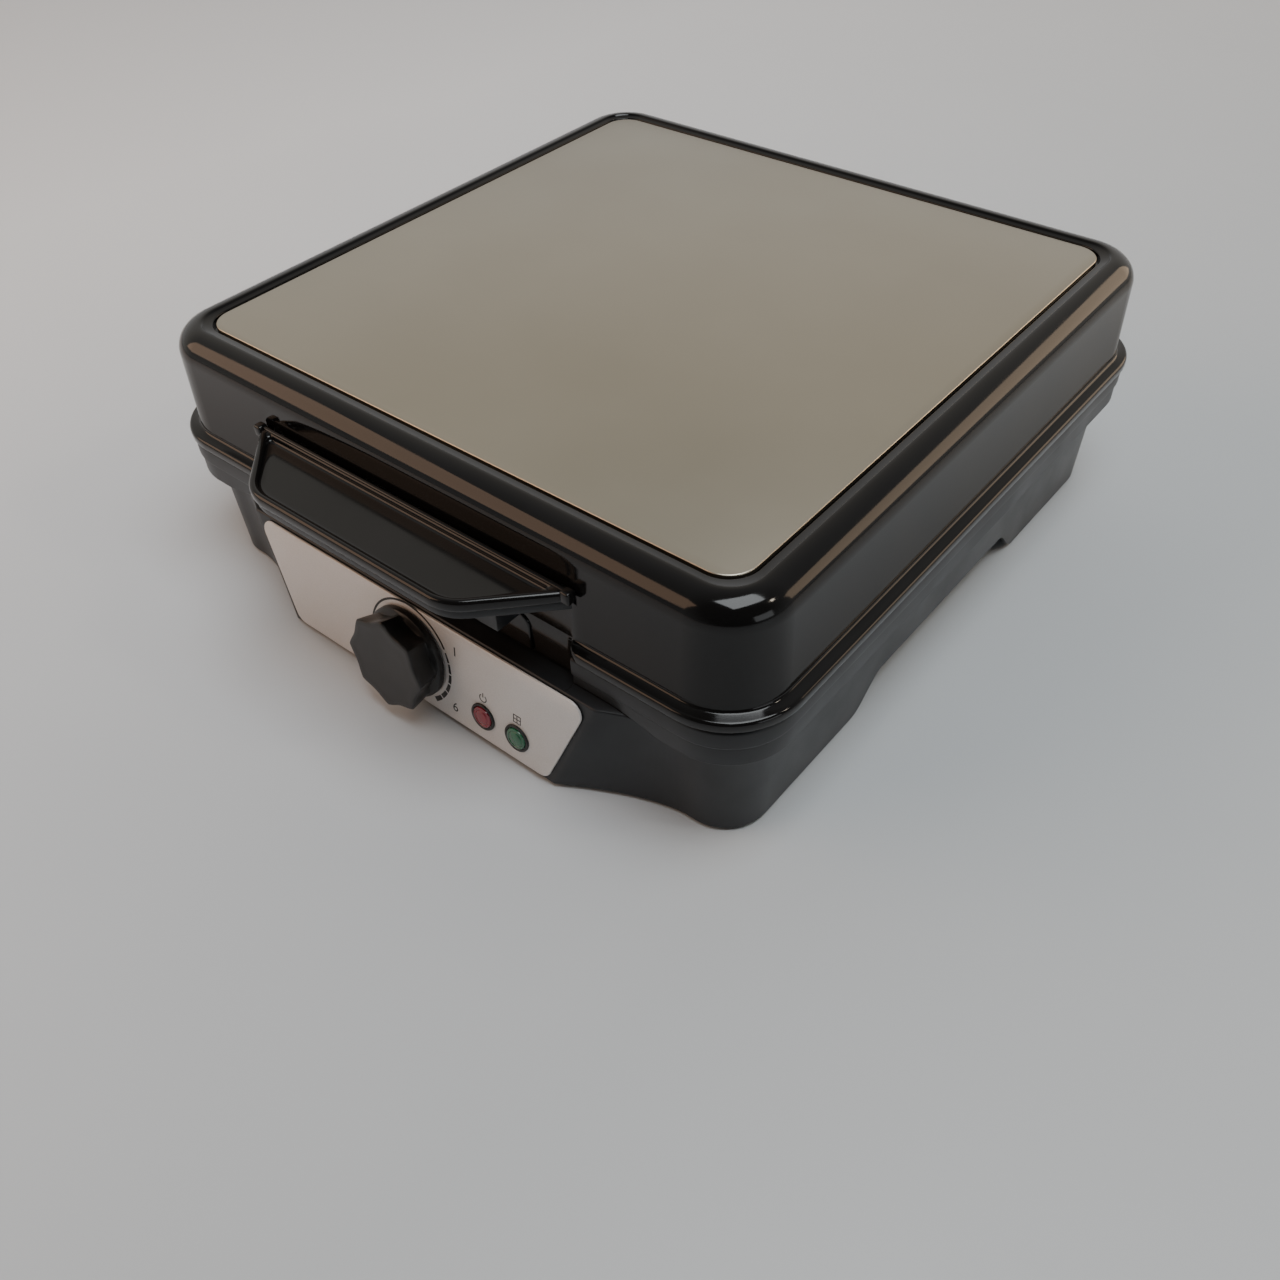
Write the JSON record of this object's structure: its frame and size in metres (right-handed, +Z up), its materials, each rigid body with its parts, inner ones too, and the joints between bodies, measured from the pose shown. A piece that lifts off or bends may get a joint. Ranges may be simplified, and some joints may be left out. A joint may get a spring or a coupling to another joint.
{
  "type": "waffle maker",
  "caption": "Square waffle maker for four waffles: hinged lid with steel top panel and front handle, sloped front console with browning knob and two indicator lamps.",
  "frame": {"origin": "under the middle of the whole outline, on the surface the feet stand on", "axes": "+X to the right seen from the front, the handle and controls face -Y, +Z up"},
  "size_m": [0.2794, 0.3148, 0.1006],
  "materials": {
    "gloss_black": "high gloss",
    "satin_black": "satin",
    "knob_black": "satin",
    "hinge_black": "satin",
    "brushed_panel": "fine satin",
    "silver_label": "matte silver",
    "coated_plate": "dark non-stick coating",
    "shield_sheet": "bright sheet",
    "heater_sheath": "dull metal sheath",
    "plated_steel": "zinc plated",
    "rubber": "matte",
    "lamp_holder_black": "semi gloss",
    "red_lens": "clear red",
    "green_lens": "clear green",
    "bulb_glass": "clear",
    "terminal_plastic": "matte",
    "wire_brown": "matte",
    "wire_blue": "matte"
  },
  "bodies": {
    "base": {"base_shell": "satin_black", "bottom_cover": "satin_black", "rubber_foot_1": "rubber", "rubber_foot_2": "rubber", "rubber_foot_3": "rubber", "rubber_foot_4": "rubber", "cover_screw_1": "plated_steel", "cover_screw_2": "plated_steel", "cover_screw_3": "plated_steel", "cover_screw_4": "plated_steel", "lower_waffle_plate": "coated_plate", "lower_heat_shield": "shield_sheet", "lower_plate_screw_1": "plated_steel", "lower_plate_screw_2": "plated_steel", "lower_plate_screw_3": "plated_steel", "lower_plate_screw_4": "plated_steel", "lower_heater": "heater_sheath", "hinge_bracket_left": "hinge_black", "hinge_bracket_right": "hinge_black", "hinge_pin_left": "plated_steel", "hinge_pin_right": "plated_steel", "bracket_screw_left": "plated_steel", "bracket_screw_right": "plated_steel", "control_label": "silver_label", "thermostat_body": "terminal_plastic", "power_lamp_holder": "lamp_holder_black", "power_lamp_lens": "red_lens", "power_lamp_bulb": "bulb_glass", "ready_lamp_holder": "lamp_holder_black", "ready_lamp_lens": "green_lens", "ready_lamp_bulb": "bulb_glass", "cord_gland": "rubber", "terminal_block": "terminal_plastic", "thermal_fuse": "terminal_plastic", "wire_line": "wire_brown", "wire_control": "wire_brown", "wire_switched": "wire_brown", "wire_neutral": "wire_blue"},
    "lid": {"lid_shell": "gloss_black", "lid_top_panel": "brushed_panel", "upper_waffle_plate": "coated_plate", "upper_heat_shield": "shield_sheet", "upper_plate_screw_1": "plated_steel", "upper_plate_screw_2": "plated_steel", "upper_plate_screw_3": "plated_steel", "upper_plate_screw_4": "plated_steel", "upper_heater": "heater_sheath", "handle_upper": "gloss_black", "handle_cover": "satin_black", "handle_screw_left": "plated_steel", "handle_screw_right": "plated_steel", "hinge_arm_left": "hinge_black", "hinge_arm_right": "hinge_black", "arm_screw_left": "plated_steel", "arm_screw_right": "plated_steel"},
    "knob": {"knob": "knob_black", "thermostat_shaft": "plated_steel"}
  },
  "joints": [
    {"name": "lid_hinge", "type": "hinge", "parent": "base", "child": "lid", "pos_m": [0, 0.15235, 0.057], "axis": [-1, 0, 0], "range_deg": [0, 105]},
    {"name": "knob_turn", "type": "hinge", "parent": "base", "child": "knob", "pos_m": [0, -0.14011, 0.0241], "axis": [0, 0.9914, -0.1305], "range_deg": [0, 240]}
  ]
}
